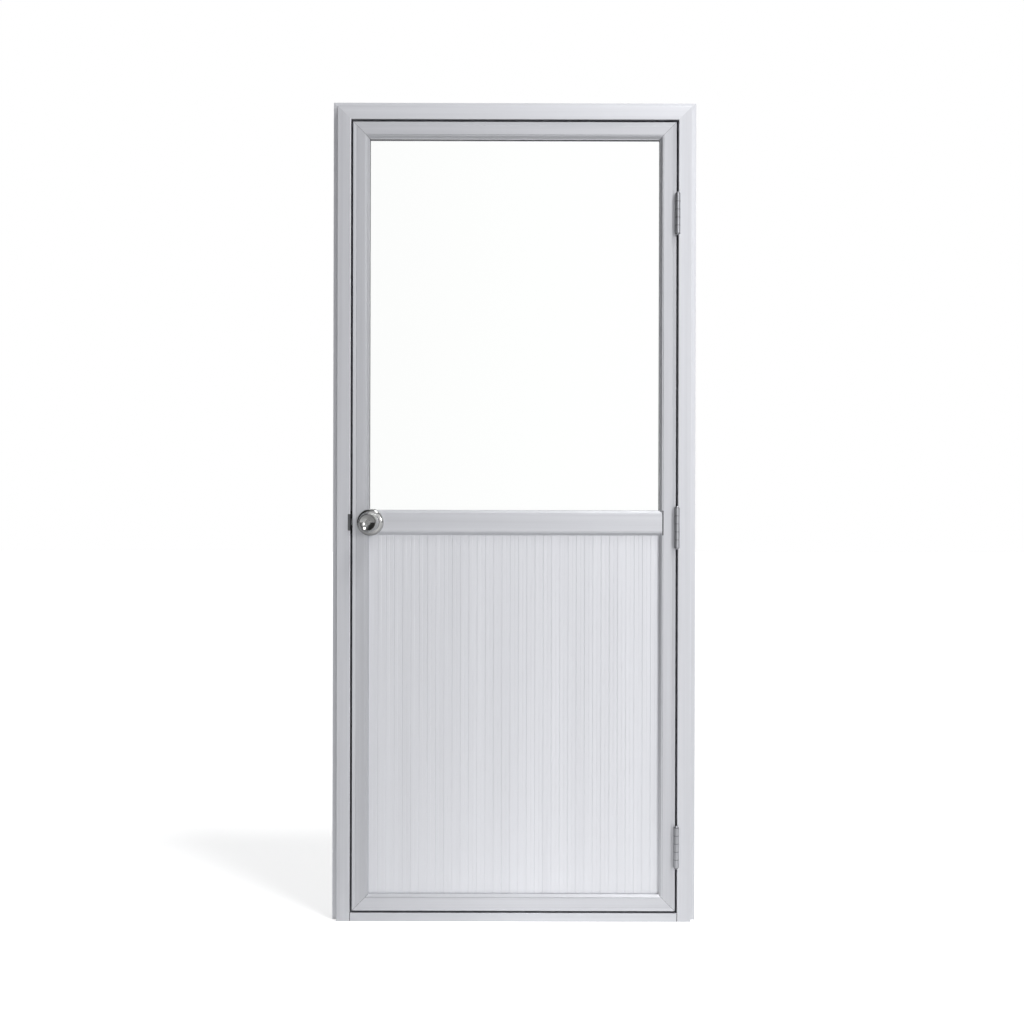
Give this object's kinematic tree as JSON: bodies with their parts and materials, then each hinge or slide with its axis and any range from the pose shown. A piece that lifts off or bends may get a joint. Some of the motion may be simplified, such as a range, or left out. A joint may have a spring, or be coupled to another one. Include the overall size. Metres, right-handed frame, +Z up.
{
  "type": "aluminium swing door",
  "caption": "Aluminium swing door in its mitred frame: clear glass above a middle rail, a ribbed panel below, knob lock with a latch at the left, butt hinges at the right.",
  "frame": {"origin": "on the sill's underside at floor height, at the middle of the doorway's width, in the plane of the wall flange's back face", "axes": "+Z up; +Y into the wall, so the front with the hinge knuckles faces -Y; +X towards the hinge side"},
  "size_m": [0.91, 0.162, 2.05],
  "materials": {
    "anodised_aluminium": "satin, drawn lengthwise",
    "panel_aluminium": "satin, ribbed",
    "clear_glass": "clear",
    "grey_rubber": "matt",
    "stainless_steel": "satin, turned",
    "satin_steel": "satin",
    "zinc_plated_steel": "zinc plated"
  },
  "bodies": {
    "frame": {"jamb_latch_side": "anodised_aluminium", "jamb_hinge_side": "anodised_aluminium", "head": "anodised_aluminium", "sill": "anodised_aluminium", "stop_latch_side": "anodised_aluminium", "stop_hinge_side": "anodised_aluminium", "stop_head": "anodised_aluminium", "stop_sill": "anodised_aluminium", "stop_seals": "grey_rubber", "strike_plate": "stainless_steel", "hinge_top_frame_plate": "satin_steel", "hinge_middle_frame_plate": "satin_steel", "hinge_bottom_frame_plate": "satin_steel", "hinge_top_pin": "satin_steel", "hinge_middle_pin": "satin_steel", "hinge_bottom_pin": "satin_steel"},
    "leaf": {"hinge_top_leaf_plate": "satin_steel", "hinge_middle_leaf_plate": "satin_steel", "hinge_bottom_leaf_plate": "satin_steel", "stile_latch_side": "anodised_aluminium", "stile_hinge_side": "anodised_aluminium", "rail_top": "anodised_aluminium", "rail_middle": "anodised_aluminium", "rail_bottom": "anodised_aluminium", "glass_bead_latch_side": "anodised_aluminium", "glass_bead_hinge_side": "anodised_aluminium", "glass_bead_top": "anodised_aluminium", "glass_bead_bottom": "anodised_aluminium", "panel_bead_latch_side": "anodised_aluminium", "panel_bead_hinge_side": "anodised_aluminium", "panel_bead_top": "anodised_aluminium", "panel_bead_bottom": "anodised_aluminium", "glass_pane": "clear_glass", "glass_gaskets": "grey_rubber", "ribbed_panel": "panel_aluminium", "lock_body": "zinc_plated_steel", "latch_face_plate": "stainless_steel", "rose_outside": "stainless_steel", "rose_inside": "stainless_steel"},
    "knobs": {"knob_outside": "stainless_steel", "knob_inside": "stainless_steel", "spindle": "zinc_plated_steel", "key_cylinder": "stainless_steel"},
    "latch_bolt": {"latch_bolt": "stainless_steel"}
  },
  "joints": [
    {"name": "door_swing", "type": "hinge", "parent": "frame", "child": "leaf", "pos_m": [0.4065, -0.027, 0.985], "axis": [0, 0, 1], "range_deg": [0, 170]},
    {"name": "knob_turn", "type": "hinge", "parent": "leaf", "child": "knobs", "pos_m": [-0.359, -0.001, 0.997], "axis": [0, 1, 0], "range_deg": [0, 60], "stiffness_Nm_per_rad": 0.3},
    {"name": "latch_slide", "type": "slide", "parent": "leaf", "child": "latch_bolt", "axis": [1, 0, 0], "range_m": [0, 0.011]}
  ],
  "couplings": [
    {"joint": "latch_slide", "follows": "knob_turn", "m_per_rad": 0.0105}
  ]
}
